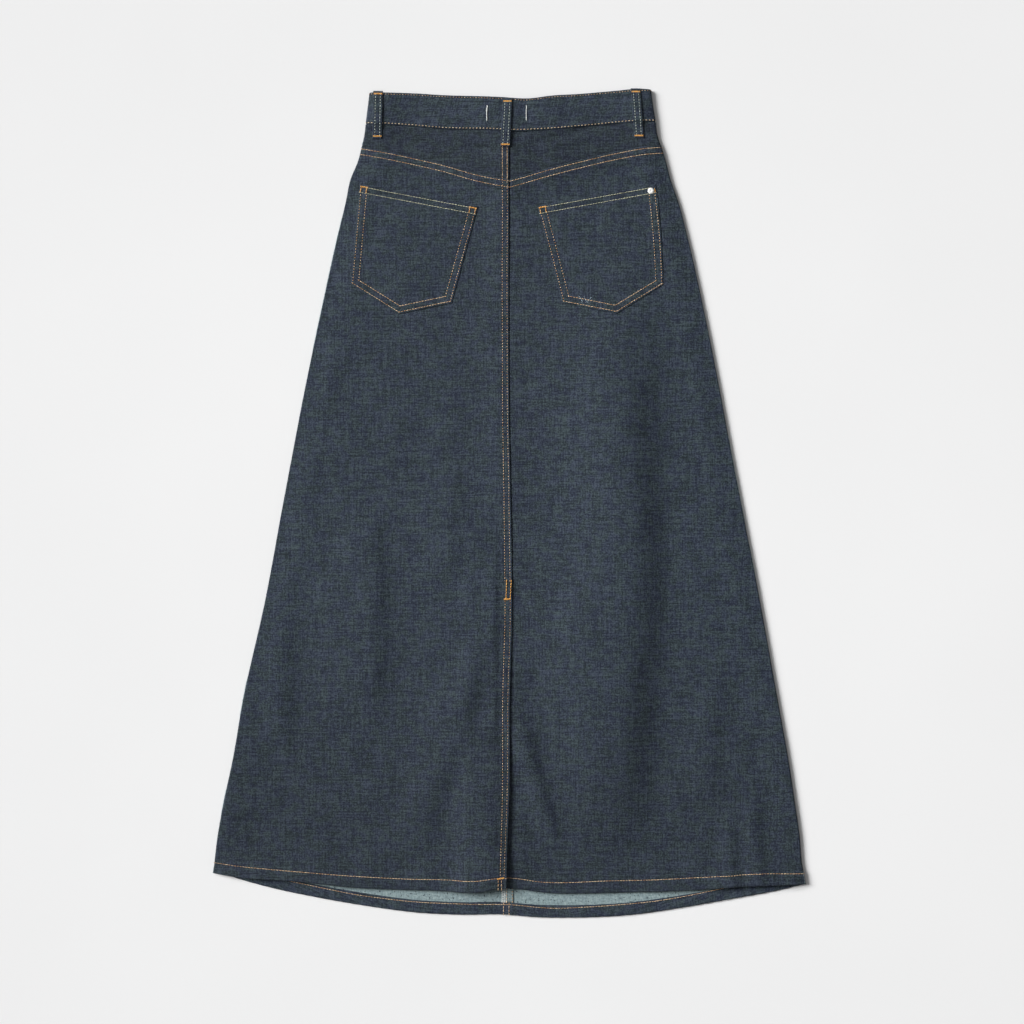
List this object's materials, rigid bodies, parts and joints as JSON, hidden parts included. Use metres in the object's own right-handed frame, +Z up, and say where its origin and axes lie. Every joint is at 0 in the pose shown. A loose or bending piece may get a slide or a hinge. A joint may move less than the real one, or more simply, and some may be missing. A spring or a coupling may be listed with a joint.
{
  "type": "denim skirt",
  "caption": "Long A-line denim skirt laid flat with its back upwards: waistband with belt loops, V yoke, patch pockets and a centre-back vent.",
  "frame": {"origin": "centre of the skirt's outline as it lies, on the surface under it", "axes": "+X to the wearer's right, +Y from the hem to the waist, +Z up from the surface, through the front and then the back"},
  "size_m": [0.676, 0.9458, 0.01],
  "materials": {
    "denim": "rigid unwashed 3x1 twill denim, matt, with slubs",
    "denim_wrong_side": "pale weft face of the same denim, with dark slub specks",
    "topstitch_thread": "ochre core-spun polyester topstitching thread",
    "pocket_thread": "khaki topstitching thread",
    "bartack_thread": "bright orange bartack thread, satin stitched",
    "overlock_thread": "white spun overlocking and tacking thread",
    "rivet_metal": "white enamelled cap",
    "button_metal": "satin nickel"
  },
  "bodies": {
    "root": {"back_left": "denim", "back_right": "denim", "hem_back_left": "denim", "hem_back_right": "denim", "yoke_left": "denim", "yoke_right": "denim", "waistband": "denim", "belt_loop_left": "denim", "belt_loop_centre": "denim", "belt_loop_right": "denim", "pocket_left": "denim", "pocket_right": "denim", "pocket_rivet": "rivet_metal", "front_left": "denim", "front_right": "denim", "hem_front_left": "denim", "hem_front_right": "denim", "front_seam_allowance": "denim_wrong_side", "waist_button": "button_metal"}
  },
  "joints": []
}
